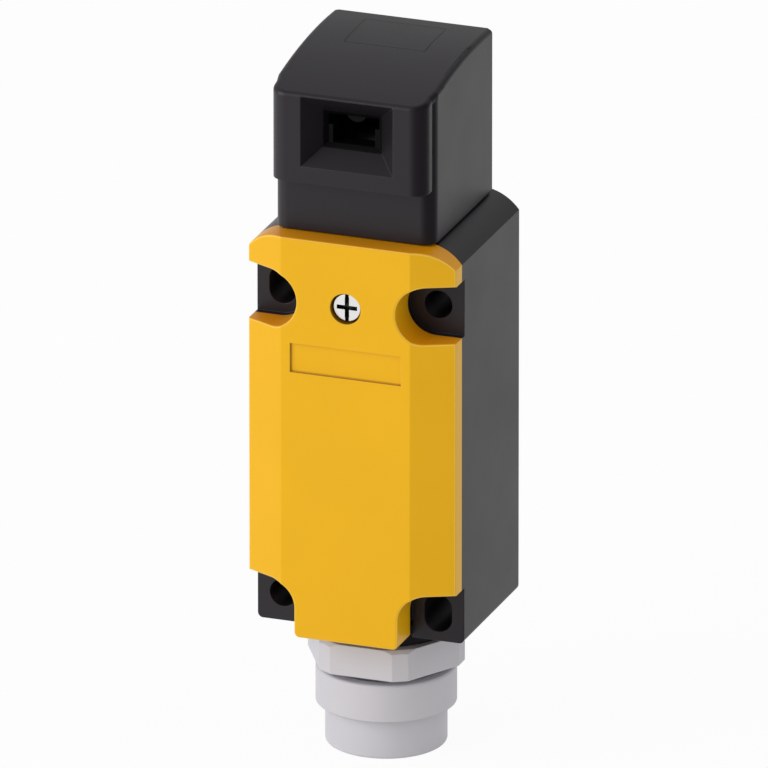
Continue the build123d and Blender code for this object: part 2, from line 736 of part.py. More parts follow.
def head_base():
    plate = Pos(0, -HEAD_AXIS) * RectangleRounded(BASE_W, BASE_W, BASE_R)
    body = plan_slab(plate, HEAD_Z, BASE_TOP_Z)
    body += post(SPIGOT_R, SPIGOT_BOTTOM_Z, HEAD_Z, HEAD_AXIS)
    for side in SIDES:
        body += pin_rest(side)
    grip_low = LOCK_Z - TURN_FIT
    grip_high = LOCK_TOP_Z + TURN_FIT
    body -= post(SPIGOT_R, grip_low, grip_high, HEAD_AXIS) - post(GROOVE_R, grip_low, grip_high, HEAD_AXIS)
    ring_top = TOP_Z - RING_DOWN
    ring_low = ring_top - RING_W
    ring_in = ring_centre_r() - RING_R - SEAT_GAP
    body -= post(SPIGOT_R, ring_low, ring_top, HEAD_AXIS) - post(ring_in, ring_low, ring_top, HEAD_AXIS)
    body -= post(PLUNGER_FLANGE_R + TURN_FIT, SPRING_SEAT_Z, BASE_TOP_Z, HEAD_AXIS)
    body -= post(STEM_R + RUN_FIT, SPIGOT_BOTTOM_Z, SPRING_SEAT_Z, HEAD_AXIS)
    for x, forward in base_screw_places():
        body -= post(BASE_SCREW_R + SEAT_GAP, HEAD_Z, BASE_TOP_Z, forward, x)
        body -= post(BASE_SCREW_HEAD_R + SEAT_GAP, HEAD_Z, HEAD_Z + BASE_SCREW_HEAD_H, forward, x)
    return body


def ring_centre_r():
    """Centre radius of the seal ring, clear of the housing's bore."""
    return SPIGOT_R + TURN_FIT - SOFT_GAP - RING_R


def head_o_ring():
    mid = TOP_Z - RING_DOWN - RING_W / 2
    return Pos(0, -HEAD_AXIS, mid) * Torus(ring_centre_r(), RING_R)


def head_base_screws():
    screws = []
    for x, forward in base_screw_places():
        head_top = HEAD_Z + BASE_SCREW_HEAD_H
        screw = post(BASE_SCREW_HEAD_R, HEAD_Z + SEAT_GAP, head_top, forward, x)
        screw += post(BASE_SCREW_R, head_top, BASE_TOP_Z + BASE_SCREW_L - BASE_T, forward, x)
        cut = Pos(x, -forward) * Rectangle(2 * BASE_SCREW_HEAD_R, BASE_SCREW_CUT)
        screw -= plan_slab(cut, HEAD_Z, HEAD_Z + BASE_SCREW_CUT)
        screws.append(screw)
    return screws


def cam_pin():
    return side_slab(Pos(HEAD_AXIS, CAM_Z) * Circle(CAM_PIN_R), -CAM_PIN_L / 2, CAM_PIN_L / 2)


def track_point(turn):
    """Point of the lifting track that meets the plunger's nose at a cam turn."""
    reach = NOSE_REACH - CAM_RISE * math.radians(turn)
    angle = math.radians(-90 - turn)
    length = math.hypot(reach, CAM_RISE)
    inward = reach - (PLUNGER_R + NOSE_GAP) * reach / length
    across = (PLUNGER_R + NOSE_GAP) * CAM_RISE / length
    forward = inward * math.cos(angle) - across * math.sin(angle)
    up = inward * math.sin(angle) + across * math.cos(angle)
    return (forward, up)


def track_outline():
    """Round dwell with a spiral bite, so that lift and turn stay in step."""
    last = CAM_TURN + CAM_SPARE
    spiral = [track_point(last * i / (TRACK_STEPS - 1)) for i in range(TRACK_STEPS)]
    dwell = math.hypot(*spiral[0])
    back_angle = math.radians(-DWELL_SPAN - CAM_TURN)
    shoulder = (dwell * math.cos(back_angle), dwell * math.sin(back_angle))
    return make_face([
        Spline(*spiral),
        Line(spiral[-1], shoulder),
        ThreePointArc(shoulder, (0, dwell), spiral[0]),
    ])


def key_cam():
    place = Pos(HEAD_AXIS, CAM_Z)
    cam = side_slab(place * track_outline(), -TRACK_W / 2, TRACK_W / 2)
    for side in SIDES:
        inner = side * TRACK_W / 2
        outer = side * CAM_W / 2
        cam += side_slab(place * Circle(CAM_R), min(inner, outer), max(inner, outer))
    for angle in POCKET_ANGLES:
        notch = Rot(0, 0, angle) * Pos(CAM_R, 0) * Rectangle(2 * POCKET_D, POCKET_W)
        cam -= side_slab(place * notch, -CAM_W / 2, CAM_W / 2)
    cam -= side_slab(place * Circle(CAM_PIN_R + RUN_FIT), -CAM_W / 2, CAM_W / 2)
    return cam


def plunger():
    body = post(STEM_R, STEM_Z, FLANGE_Z, HEAD_AXIS)
    body += post(PLUNGER_FLANGE_R, FLANGE_Z, FLANGE_TOP_Z, HEAD_AXIS)
    body += post(PLUNGER_R, FLANGE_TOP_Z, NOSE_Z, HEAD_AXIS)
    body += Pos(0, -HEAD_AXIS, NOSE_Z) * Sphere(PLUNGER_R)
    return body


def plunger_spring():
    return coil(PLUNGER_COIL_R, PLUNGER_WIRE_R, SPRING_SEAT_Z, FLANGE_Z, HEAD_AXIS)


def head_lock_slide():
    """Keyhole slide whose hole grips the groove of the spigot from behind."""
    middle = (LOCK_BACK + LOCK_FRONT) / 2
    plate = Pos(0, -middle) * RectangleRounded(LOCK_W, LOCK_FRONT - LOCK_BACK, RAIL_T)
    plate -= Pos(0, -HEAD_AXIS - LOCK_TRAVEL) * Circle(LOCK_HOLE_R)
    body = plan_slab(plate, LOCK_Z, LOCK_TOP_Z)
    body += block(LOCK_TAB_W, LOCK_FRONT - LOCK_TAB_T, LOCK_FRONT, LOCK_Z - LOCK_TAB_H, LOCK_Z)
    return body


def block_screw_places():
    """Front-view places of the two screws that hold the contact block."""
    top = BLOCK_TOP_Z - BLOCK_SCREW_EDGE
    low = BLOCK_Z + BLOCK_SCREW_EDGE
    return [(-BLOCK_SCREW_X, top), (BLOCK_SCREW_X, low)]


def contact_block_base():
    half = BLOCK_W / 2
    channel = CHANNEL_W / 2
    body = block(BLOCK_W, FLOOR, BLOCK_FRONT, BLOCK_Z, BLOCK_TOP_Z)
    body -= block(CHANNEL_W, CHANNEL_BACK, BLOCK_FRONT, BLOCK_Z, BLOCK_TOP_Z)
    outer = channel + RIB_T
    for side in SIDES:
        rib_x = side * (channel + RIB_T / 2)
        body += block(RIB_T, BLOCK_FRONT, RIB_FRONT, BLOCK_Z, BLOCK_TOP_Z, rib_x)
        for k in range(len(ROWS) + 1):
            low = BLOCK_MID_Z + (k - len(ROWS) / 2) * ROW_PITCH - BARRIER_T / 2
            high = low + BARRIER_T
            middle = side * (half + outer) / 2
            body += block(half - outer, BLOCK_FRONT, BARRIER_FRONT, low, high, middle)
    body += block(CHANNEL_W, CHANNEL_BACK, RIB_FRONT, BLOCK_Z, BLOCK_Z + END_T)
    body += block(CHANNEL_W, CHANNEL_BACK, RIB_FRONT, BLOCK_TOP_Z - END_T, BLOCK_TOP_Z)
    play = CARRIER_PLAY
    slot_w = CARRIER_W + 2 * play
    slot_low = BLOCK_TOP_Z - END_T
    body -= block(slot_w, CARRIER_BACK - play, CARRIER_FRONT + play, slot_low, BLOCK_TOP_Z)
    for z in ROW_Z:
        low = z + STRIP_UP - SEAT_GAP
        high = z + STRIP_UP + STRIP_T + SEAT_GAP
        strip_front = HEAD_AXIS + STRIP_W / 2 + SEAT_GAP
        body -= block(2 * outer, BLOCK_FRONT, strip_front, low, high)
        for side in SIDES:
            hole_back = BLOCK_FRONT + PLATE_T + CLAMP_T - TERM_SCREW_L - HOLE_PLAY
            body -= stud(TERM_SCREW_R + HOLE_PLAY, hole_back, BLOCK_FRONT, side * TERMINAL_X, z)
    for x, z in block_screw_places():
        body -= stud(PILLAR_R + HOLE_PLAY, FLOOR, FLOOR + PILLAR_H + HOLE_PLAY, x, z)
        body -= stud(BLOCK_SCREW_R + HOLE_PLAY, FLOOR, BLOCK_FRONT, x, z)
        seat = BLOCK_FRONT - BLOCK_SCREW_SEAT
        body -= stud(BLOCK_SCREW_HEAD_R + HOLE_PLAY, seat, BLOCK_FRONT, x, z)
    return body


def contact_block_cover():
    """Lid of the contact channel with a shallow sight groove."""
    width = CHANNEL_W + 2 * RIB_T
    body = block(width, RIB_FRONT, RIB_FRONT + CHANNEL_COVER_T, BLOCK_Z, BLOCK_TOP_Z)
    groove_front = RIB_FRONT + CHANNEL_COVER_T
    body -= block(CARRIER_W, groove_front - STRIP_T / 2, groove_front, ROW_Z[0], ROW_Z[-1])
    return body


def fixed_contacts():
    contacts = []
    for z in ROW_Z:
        for side in SIDES:
            x = side * TERMINAL_X
            front = BLOCK_FRONT + PLATE_T
            plate = block(PLATE_W, BLOCK_FRONT, front, z - PLATE_H / 2, z + PLATE_H / 2, x)
            inner = CONTACT_X - RIVET_R
            outer = TERMINAL_X - CLAMP_W / 2 - HOLE_PLAY
            low = z + STRIP_UP
            back = HEAD_AXIS - STRIP_W / 2
            middle = side * (inner + outer) / 2
            strip = block(outer - inner, back, back + STRIP_W, low, low + STRIP_T, middle)
            rivet = post(RIVET_R, low - RIVET_H, low, HEAD_AXIS, side * CONTACT_X)
            contact = plate + strip + rivet
            contact -= stud(TERM_SCREW_R + HOLE_PLAY, BLOCK_FRONT, front, x, z)
            contacts.append(contact)
    return contacts


def terminal_clamps():
    clamps = []
    for z in ROW_Z:
        for side in SIDES:
            x = side * TERMINAL_X
            back = BLOCK_FRONT + PLATE_T
            clamp = block(CLAMP_W, back, back + CLAMP_T, z - CLAMP_W / 2, z + CLAMP_W / 2, x)
            clamp -= stud(TERM_SCREW_R + HOLE_PLAY, back, back + CLAMP_T, x, z)
            clamps.append(clamp)
    return clamps


def terminal_screws():
    screws = []
    for z in ROW_Z:
        for side in SIDES:
            x = side * TERMINAL_X
            seat = BLOCK_FRONT + PLATE_T + CLAMP_T
            front = seat + TERM_HEAD_H
            screw = stud(TERM_SCREW_R, seat - TERM_SCREW_L, seat, x, z)
            screw += stud(TERM_HEAD_R, seat, front, x, z)
            cut = span_box(x - TERM_HEAD_R, x + TERM_HEAD_R, z - SLOT_CUT_W / 2, z + SLOT_CUT_W / 2)
            screws.append(screw - front_slab(cut, front - SLOT_CUT_D, front))
    return screws


def block_screws():
    screws = []
    seat = BLOCK_FRONT - BLOCK_SCREW_SEAT
    for x, z in block_screw_places():
        tip = FLOOR + PILLAR_H - BLOCK_SCREW_GRIP + HOLE_PLAY
        screw = stud(BLOCK_SCREW_R, tip, seat, x, z)
        screw += stud(BLOCK_SCREW_HEAD_R, seat, seat + BLOCK_SCREW_HEAD_H, x, z)
        screws.append(screw)
    return screws


def contact_carrier():
    body = block(CARRIER_W, CARRIER_BACK, CARRIER_FRONT, CARRIER_Z, CARRIER_TOP_Z)
    half = STRIP_W / 2 + BRIDGE_PLAY
    back = HEAD_AXIS - half
    front = HEAD_AXIS + half
    for z in ROW_Z:
        body -= block(2 * CARRIER_W, back, front, z - WINDOW_DOWN, z - BRIDGE_DOWN)
    return body


def contact_bridges():
    bridges = []
    half = STRIP_W / 2
    for z in ROW_Z:
        high = z - BRIDGE_DOWN
        bridge = block(BRIDGE_L, HEAD_AXIS - half, HEAD_AXIS + half, high - STRIP_T, high)
        for side in SIDES:
            bridge += post(RIVET_R, high, high + RIVET_H, HEAD_AXIS, side * CONTACT_X)
        bridges.append(bridge)
    return bridges


def bridge_springs():
    """Bowed leaf springs that press the bridges upward."""
    leaves = []
    reach = CARRIER_W / 2 - HOLE_PLAY
    for z in ROW_Z:
        low = z - WINDOW_DOWN
        top = low + LEAF_H
        outer = ThreePointArc((-reach, low), (0, top), (reach, low))
        inner = ThreePointArc((reach - LEAF_T, low), (0, top - LEAF_T), (LEAF_T - reach, low))
        feet = [Line((reach, low), (reach - LEAF_T, low)), Line((LEAF_T - reach, low), (-reach, low))]
        leaf = make_face([outer, inner] + feet)
        leaves.append(front_slab(leaf, HEAD_AXIS - LEAF_W / 2, HEAD_AXIS + LEAF_W / 2))
    return leaves


def carrier_spring():
    return coil(CARRIER_COIL_R, CARRIER_WIRE_R, BLOCK_Z + END_T, CARRIER_Z, HEAD_AXIS)


def gland_washer():
    ring = post(WASHER_R, WASHER_Z, BOTTOM_Z - NECK_H, GLAND_FORWARD)
    return ring - post(GLAND_THREAD_R, WASHER_Z, BOTTOM_Z - NECK_H, GLAND_FORWARD)


def hexagon():
    """Hexagon with flattened corners and one side to the front."""
    outline = RegularPolygon(HEX_AF / 2, 6, major_radius=False)
    return Pos(0, -GLAND_FORWARD) * chamfer(outline.vertices(), HEX_CORNER_CUT)


def gland_body():
    body = plan_slab(hexagon(), HEX_Z, WASHER_Z)
    body = fillet(body.edges().group_by(Axis.Z)[0], HEX_EDGE_R)
    cone = Cone(2 * HEX_CHAMFER_R, HEX_CHAMFER_R, HEX_CHAMFER_R)
    body = body & Pos(0, -GLAND_FORWARD, WASHER_Z - HEX_CHAMFER_R / 2) * cone
    body += post(GLAND_THREAD_R - SEAT_GAP, WASHER_Z, WASHER_Z + GLAND_THREAD_GRIP, GLAND_FORWARD)
    body += post(SLEEVE_R, SLEEVE_Z, HEX_Z, GLAND_FORWARD)
    body -= post(GLAND_BORE_R, SLEEVE_Z, WASHER_Z + GLAND_THREAD_GRIP, GLAND_FORWARD)
    body -= post(INSERT_R + SEAT_GAP, SLEEVE_Z, INSERT_Z + INSERT_L, GLAND_FORWARD)
    return body


def gland_insert():
    body = post(INSERT_R, INSERT_Z, INSERT_Z + INSERT_L, GLAND_FORWARD)
    return body - post(INSERT_BORE_R, INSERT_Z, INSERT_Z + INSERT_L, GLAND_FORWARD)


def gland_cage():
    """Ring of fingers that the nut presses on to the seal."""
    low = SLEEVE_Z - CAGE_L
    body = post(INSERT_R + SEAT_GAP + CAGE_T, low, SLEEVE_Z, GLAND_FORWARD)
    body -= post(INSERT_R + SEAT_GAP, low, SLEEVE_Z, GLAND_FORWARD)
    reach = INSERT_R + 2 * CAGE_T
    cut_h = CAGE_L - CAGE_RIM
    for k in range(CAGE_FINGERS):
        turn = Rot(0, 0, 360 * k / CAGE_FINGERS)
        place = Pos(0, -GLAND_FORWARD, low + cut_h / 2) * turn * Pos(reach / 2, 0, 0)
        body -= place * Box(reach, CAGE_CUT, cut_h)
    return body


def gland_nut():
    body = post(NUT_R, NUT_STEP_Z, NUT_TOP_Z, GLAND_FORWARD)
    body += post(NUT_TIP_R, NUT_Z, NUT_STEP_Z, GLAND_FORWARD)
    rims = body.edges().filter_by(GeomType.CIRCLE)
    body = fillet(rims.group_by(Axis.Z)[0] + rims.group_by(Axis.Z)[-1], NUT_EDGE_R)
    body -= post(NUT_MOUTH_R, NUT_Z, NUT_TOP_Z, GLAND_FORWARD)
    cage_r = INSERT_R + SEAT_GAP + CAGE_T + SOFT_GAP
    body -= post(cage_r, NUT_Z + NUT_MOUTH_T, NUT_TOP_Z, GLAND_FORWARD)
    body -= post(SLEEVE_R + TURN_FIT, SLEEVE_Z - SOFT_GAP, NUT_TOP_Z, GLAND_FORWARD)
    return body


save("housing", housing())
save("cover", cover())
save("cover_gasket", cover_gasket())
save("screw_retainer", screw_retainer())
save("cover_screw", cover_screw())
save("head_housing", head_housing())
save("tongue_guide", tongue_guide())
save("top_plug", top_plug())
save("head_base", head_base())
save("head_base_screws", *head_base_screws())
save("head_o_ring", head_o_ring())
save("cam_pin", cam_pin())
save("key_cam", key_cam())
save("plunger", plunger())
save("plunger_spring", plunger_spring())
save("head_lock_slide", head_lock_slide())
save("contact_block_base", contact_block_base())
save("contact_block_cover", contact_block_cover())
save("fixed_contacts", *fixed_contacts())
save("terminal_clamps", *terminal_clamps())
save("terminal_screws", *terminal_screws())
save("block_screws", *block_screws())
save("contact_carrier", contact_carrier())
save("contact_bridges", *contact_bridges())
save("bridge_springs", *bridge_springs())
save("carrier_spring", carrier_spring())
save("gland_washer", gland_washer())
save("gland_body", gland_body())
save("gland_insert", gland_insert())
save("gland_cage", gland_cage())
save("gland_nut", gland_nut())
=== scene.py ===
import json
import math

import bpy
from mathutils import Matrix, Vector


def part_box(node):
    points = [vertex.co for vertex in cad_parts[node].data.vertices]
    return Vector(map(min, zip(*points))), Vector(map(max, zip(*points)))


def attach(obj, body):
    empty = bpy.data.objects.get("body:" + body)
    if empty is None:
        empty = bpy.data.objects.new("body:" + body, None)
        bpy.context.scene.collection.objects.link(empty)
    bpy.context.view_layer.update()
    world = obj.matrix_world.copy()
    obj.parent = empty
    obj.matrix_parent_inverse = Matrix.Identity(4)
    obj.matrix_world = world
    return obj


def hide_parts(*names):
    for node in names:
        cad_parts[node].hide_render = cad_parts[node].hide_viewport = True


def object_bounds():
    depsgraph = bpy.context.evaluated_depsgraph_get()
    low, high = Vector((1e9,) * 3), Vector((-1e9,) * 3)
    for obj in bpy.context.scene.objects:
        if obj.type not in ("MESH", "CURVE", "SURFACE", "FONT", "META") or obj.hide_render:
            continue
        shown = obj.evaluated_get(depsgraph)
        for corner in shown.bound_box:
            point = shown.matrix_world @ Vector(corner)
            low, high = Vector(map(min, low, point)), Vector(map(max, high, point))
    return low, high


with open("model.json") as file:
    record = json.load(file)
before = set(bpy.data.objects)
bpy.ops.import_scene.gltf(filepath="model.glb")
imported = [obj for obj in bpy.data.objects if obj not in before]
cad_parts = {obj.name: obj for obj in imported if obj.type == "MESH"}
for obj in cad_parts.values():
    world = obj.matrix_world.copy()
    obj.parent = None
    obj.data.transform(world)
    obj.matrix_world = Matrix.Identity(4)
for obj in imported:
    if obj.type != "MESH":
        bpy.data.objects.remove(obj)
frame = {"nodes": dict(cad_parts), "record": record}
cad_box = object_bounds()

MM = 0.001

# The photograph's view: angles in degrees, its scale and the point at its centre
PHOTO_AZIMUTH = 20.09
PHOTO_ELEVATION = 20.82
PHOTO_WIDTH_PX = 768
PHOTO_PX_PER_MM = 5.4937
PHOTO_CENTRE = Vector((0, -17.35, 8.235)) * MM
CAMERA_DISTANCE = 5.5
CLIP_RATIO = 10
SENSOR = 36.0

# Places on the operating head and of its painted shades: those of the solids come from the frame
PLUG_LOW, PLUG_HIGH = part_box("top_plug")
PLUG_MID = (PLUG_LOW + PLUG_HIGH) / 2
PLUG_HALF = (PLUG_HIGH - PLUG_LOW) / 2
PLUG_JOINT = 0.3 * MM
FUNNEL_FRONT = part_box("head_housing")[0].y
FUNNEL_HALF_W = 8.9 * MM
FUNNEL_HALF_H = 6.75 * MM
FUNNEL_Z = 63.0 * MM
FUNNEL_SHADE = 0.3
THROAT = -33.0 * MM

# Places on the cover and the cable gland, and how strong each painted shade or painted highlight is
COVER_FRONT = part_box("cover")[0].y
GLAND_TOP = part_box("gland_nut")[1].z
BORE_R = 2.98 * MM
BORE_GAP = 0.05 * MM
BORE_DEPTH = 0.4 * MM
BORE_SHADE = 0.8
LABEL_HALF_W = 10.7 * MM
LABEL_LOW = 16.5 * MM
LABEL_H = 5.6 * MM
LABEL_LINE = 0.3 * MM
LABEL_MARGIN = 0.05 * MM
LABEL_SHADE = 0.38
RIM_SHINE = 0.5
RIM_FROM_WALL = (0.45, 0.68)
RIM_TO_FRONT = (0.8, 0.9)
COVER_EDGE = 0.22 * MM
COVER_EDGE_LIFT = 0.15
GROOVE_H = 1.45 * MM
GROOVE_SHADE = 0.9

# Width of the soft step at the border of a painted shade, and samples of a rounded edge
FADE = 0.1 * MM
EDGE_SAMPLES = 6

# Finish of moulded plastic: sizes of its clouds, its grain, and its edge wear with a painted highlight,
# and what each one changes
CLOUD_SIZE = 14 * MM
CLOUD_TINT = 0.04
CLOUD_ROUGH = 0.08
GRAIN_SIZE = 0.16 * MM
GRAIN_DEPTH = 0.02 * MM
GRAIN_ROUGH = 0.1
WEAR_HIGHLIGHT_SIZE = 1.2 * MM
WEAR_HIGHLIGHT_LEAST = 0.6
WEAR_HIGHLIGHT_SPREAD = 0.8
WEAR_HIGHLIGHT_GAIN = 7.0
EDGE_LIGHT = 1.3
# Colour factor of the painted shade in joints and recesses
SHADE_LEVEL = 0.12

# Finish of metal: its drawn lines, its stains and its bright edges
DRAWN_LINE = 0.12 * MM
DRAWN_DEPTH = 0.01 * MM
DRAWN_RELIEF = 0.15
DRAWN_ROUGH = 0.1
STAIN_SIZE = 1.6 * MM
STAIN_DARK = 0.88
STAIN_LIGHT = 1.06
STAIN_ROUGH = 0.18
METAL_EDGE_GAIN = 1.5
METAL_EDGE_LIGHT = 1.15

# Finish of rubber: its bloom and its pores
BLOOM_SIZE = 2.5 * MM
BLOOM_LIGHT = 1.9
BLOOM_ROUGH = 0.15
PORE_SIZE = 0.2 * MM
PORE_DEPTH = 0.02 * MM
PORE_RELIEF = 0.2
RUBBER_EDGE = 0.15 * MM
RUBBER_GLOSS = 0.35

# Screws: what every screw shares, and the seats of each set's heads in millimetres
SCREW_CORNERS = 48
THREAD_CORNERS = 24
RINGS_PER_TURN = 6
TIP_L = 0.5 * MM
TIP_NARROWING = 0.25
RECESS_LOW = 0.25
RECESS_HIGH = 0.995
RECESS_REACH = 0.93
SMOOTH_ANGLE = math.radians(32)
COVER_SCREW_SEAT = (0, -34.3, 30.0)
TERMINAL_SEATS = [(x, -17.1, z) for z in (-10.9, 0.3, 11.5) for x in (-11.35, 11.35)]
BLOCK_SEATS = [(-12.0, -10.9, 19.7), (12.0, -10.9, -19.1)]
BASE_SEATS = [(x, y, 43.5) for x in (-10.8, 10.8) for y in (-6.0, -27.6)]

# Studio: the world's light, a dim zone to the right that only reflections show, and one lamp
FLOOR_HALF = 4.0
FLOOR_COLOUR = (0.92, 0.92, 0.92)
FLOOR_SHADOW = 0.07
WORLD_LIGHT = 0.69
SKY_MIRRORED = 0.58
DIM_AZIMUTH = 72
DIM_INNER = 35
DIM_OUTER = 104
DIM_LEVEL = 0.08
DIM_ORIGIN = Vector((0, -60, 0)) * MM
SOFT_BOX = {"azimuth": -45, "elevation": 20, "distance": 1.2, "size": 0.9, "power": 6.7}


class Socket:
    """An output of a node, with arithmetic that adds Math nodes."""

    def __init__(self, owner, link):
        self.owner = owner
        self.link = link

    def __add__(self, other):
        return self.owner.math("ADD", self, other)

    def __radd__(self, other):
        return self.owner.math("ADD", other, self)

    def __sub__(self, other):
        return self.owner.math("SUBTRACT", self, other)

    def __rsub__(self, other):
        return self.owner.math("SUBTRACT", other, self)

    def __mul__(self, other):
        return self.owner.math("MULTIPLY", self, other)

    def __rmul__(self, other):
        return self.owner.math("MULTIPLY", other, self)

    def __truediv__(self, other):
        return self.owner.math("DIVIDE", self, other)

    def __rtruediv__(self, other):
        return self.owner.math("DIVIDE", other, self)

    def clamped(self):
        """The value kept between 0 and 1."""
        return self.owner.math("ADD", self, 0.0, clamp=True)


class NodeTree:
    """Nodes and links of a shader or of a geometry tree."""

    def __init__(self, tree):
        self.tree = tree
        self.tree.nodes.clear()

    def node(self, kind, settings=None, inputs=None):
        """Add a node: its settings first, then the values or links of its sockets."""
        made = self.tree.nodes.new(kind)
        for name, value in (settings or {}).items():
            setattr(made, name, value)
        for name, value in (inputs or {}).items():
            for each in value if isinstance(value, list) else [value]:
                self.feed(made.inputs[name], each)
        return made

    def feed(self, socket, value):
        """Link a socket, or set its value."""
        if isinstance(value, Socket):
            self.tree.links.new(value.link, socket)
        else:
            socket.default_value = value

    def out(self, made, name):
        """One output of a node, ready for arithmetic."""
        return Socket(self, made.outputs[name])

    def math(self, operation, a, b=0.0, clamp=False):
        settings = {"operation": operation, "use_clamp": clamp}
        return self.out(self.node("ShaderNodeMath", settings, {0: a, 1: b}), "Value")

    def smooth(self, value, low, high, from_level=0.0, to_level=1.0):
        """A soft step between two levels."""
        inputs = {"Value": value, "From Min": low, "From Max": high,
                  "To Min": from_level, "To Max": to_level}
        made = self.node("ShaderNodeMapRange", {"interpolation_type": "SMOOTHSTEP"}, inputs)
        return self.out(made, "Result")

    def dot(self, a, b):
        made = self.node("ShaderNodeVectorMath", {"operation": "DOT_PRODUCT"}, {0: a, 1: b})
        return self.out(made, "Value")


class Shader(NodeTree):
    """The nodes of one material or of the world."""

    def __init__(self, owner):
        owner.use_nodes = True
        super().__init__(owner.node_tree)

    def place(self):
        """The place on the object, in metres of the frame."""
        return self.out(self.node("ShaderNodeTexCoord"), "Object")

    def along(self, axis):
        """The place along one axis of the frame, in metres."""
        split = self.node("ShaderNodeSeparateXYZ", {}, {"Vector": self.place()})
        return self.out(split, axis)

    def noise(self, size, detail=2.0, rough=0.5, stretch=(1, 1, 1)):
        """Noise from 0 to 1 whose lumps are about as large as size, in metres."""
        scale = tuple(s / size for s in stretch)
        scaled = self.node("ShaderNodeMapping", {"vector_type": "POINT"},
                           {"Vector": self.place(), "Scale": scale})
        settings = {"noise_dimensions": "3D"}
        inputs = {"Vector": self.out(scaled, "Vector"), "Scale": 1.0, "Detail": detail,
                  "Roughness": rough}
        return self.out(self.node("ShaderNodeTexNoise", settings, inputs), "Fac")

    def mix(self, factor, a, b):
        """Blend two colours: sockets 6 and 7 take them, and output 2 gives the blend."""
        settings = {"data_type": "RGBA", "blend_type": "MIX"}
        made = self.node("ShaderNodeMix", settings, {0: factor, 6: a, 7: b})
        return Socket(self, made.outputs[2])

    def rounded(self, radius):
        """The normal of the surface as if its edges were rounded."""
        made = self.node("ShaderNodeBevel", {"samples": EDGE_SAMPLES}, {"Radius": radius})
        return self.out(made, "Normal")

    def edges(self, radius, gain):
        """1 on sharp edges, 0 on flats."""
        flat = self.out(self.node("ShaderNodeNewGeometry"), "Normal")
        return ((1 - self.dot(self.rounded(radius), flat)) * gain).clamped()

    def facing(self, direction):
        """1 on faces that look in a direction, 0 on those square to it or turned away."""
        normal = self.out(self.node("ShaderNodeTexCoord"), "Normal")
        return self.dot(normal, direction).clamped()

    def bump(self, height, strength, distance, normal):
        """Relief as deep as distance, on top of another normal."""
        inputs = {"Height": height, "Strength": strength, "Distance": distance, "Normal": normal}
        return self.out(self.node("ShaderNodeBump", {}, inputs), "Normal")

    def surface(self, constants, links):
        """End the tree in one Principled shader: fixed values, then what varies."""
        made = self.node("ShaderNodeBsdfPrincipled", {}, {**constants, **links})
        self.end("ShaderNodeOutputMaterial", self.out(made, "BSDF"))

    def end(self, kind, surface):
        """The last node, which takes the finished surface."""
        self.node(kind, {}, {"Surface": surface})

    def background_rays(self):
        """Rays of the camera, and rays of mirrors and glass."""
        path = self.node("ShaderNodeLightPath")
        camera = self.out(path, "Is Camera Ray")
        mirrored = self.out(path, "Is Glossy Ray") + self.out(path, "Is Transmission Ray")
        return camera, (mirrored - camera).clamped()

    def dimmed(self, direction):
        """1 almost everywhere, and dim in one zone to the right of the object."""
        towards = compass(DIM_AZIMUTH, 0)
        inner = math.cos(math.radians(DIM_INNER))
        outer = math.cos(math.radians(DIM_OUTER))
        flat = self.node("ShaderNodeVectorMath", {"operation": "MULTIPLY"},
                         {0: direction, 1: (1, 1, 0)})
        unit = self.node("ShaderNodeVectorMath", {"operation": "NORMALIZE"},
                         {0: self.out(flat, "Vector")})
        return self.smooth(self.dot(self.out(unit, "Vector"), towards), outer, inner, 1.0, DIM_LEVEL)


def compass(azimuth, elevation):
    """Unit vector towards a place: azimuth from the front round to the right, in degrees."""
    a = math.radians(azimuth)
    e = math.radians(elevation)
    return Vector((math.sin(a) * math.cos(e), -math.cos(a) * math.cos(e), math.sin(e)))


def rgba(colour):
    """The colour with full opacity, as colour sockets take it."""
    return (*colour, 1.0)


def lighter(colour, factor):
    """The colour times a factor, which below 1 makes it darker."""
    return rgba([min(1.0, c * factor) for c in colour])


def paler(colour, lift):
    """The colour where an edge catches the light: lighter, and a little towards white."""
    return rgba([min(1.0, c * EDGE_LIGHT + lift) for c in colour])


def moulded(name, colour, roughness, gloss=0.5, grain=0.12, wear_and_highlight=0.25, edge=0.25 * MM,
            lift=0.03, top=None, painted_shade=None, rim_highlight=None):
    """Moulded plastic with a fine eroded grain, soft edges and faint flow clouds.

    The top colour is painted shade on faces that look up. The shade function says where shade is
    painted in a joint or a recess, the rim function where a highlight is painted on an edge, and
    edges are lightened partly as wear and partly as a painted highlight.
    """
    material = bpy.data.materials.new(name)
    tree = Shader(material)
    clouds = tree.noise(CLOUD_SIZE, detail=3.0)
    grit = tree.noise(GRAIN_SIZE, detail=1.0)
    # Edges lighter than the flats: partly wear, partly a painted highlight.
    wear_highlight_mask = tree.edges(edge, WEAR_HIGHLIGHT_GAIN)
    wear_highlight_mask = wear_highlight_mask * (WEAR_HIGHLIGHT_LEAST + tree.noise(WEAR_HIGHLIGHT_SIZE, detail=3.0) * WEAR_HIGHLIGHT_SPREAD)
    base = tree.mix(clouds, lighter(colour, 1 - CLOUD_TINT), lighter(colour, 1 + CLOUD_TINT))
    # Faces that look up take a deeper colour: painted shade.
    if top:
        base = tree.mix(tree.facing((0, 0, 1)), base, rgba(top))
    shine = (wear_highlight_mask * wear_and_highlight).clamped()
    # Rounded rims of the cover get a painted highlight.
    if rim_highlight:
        shine = tree.math("MAXIMUM", shine, rim_highlight(tree))
    wear_and_painted_light = tree.mix(shine, base, paler(colour, lift))
    # Joints and recesses darken here: painted shade.
    if painted_shade:
        wear_and_painted_light = tree.mix(painted_shade(tree), wear_and_painted_light, lighter(colour, SHADE_LEVEL))
    normal = tree.bump(grit, grain, GRAIN_DEPTH, tree.rounded(edge))
    rough = roughness + (clouds - 0.5) * CLOUD_ROUGH + (grit - 0.5) * GRAIN_ROUGH
    tree.surface({"Specular IOR Level": gloss},
                 {"Base Color": wear_and_painted_light, "Roughness": rough, "Normal": normal})
    return material


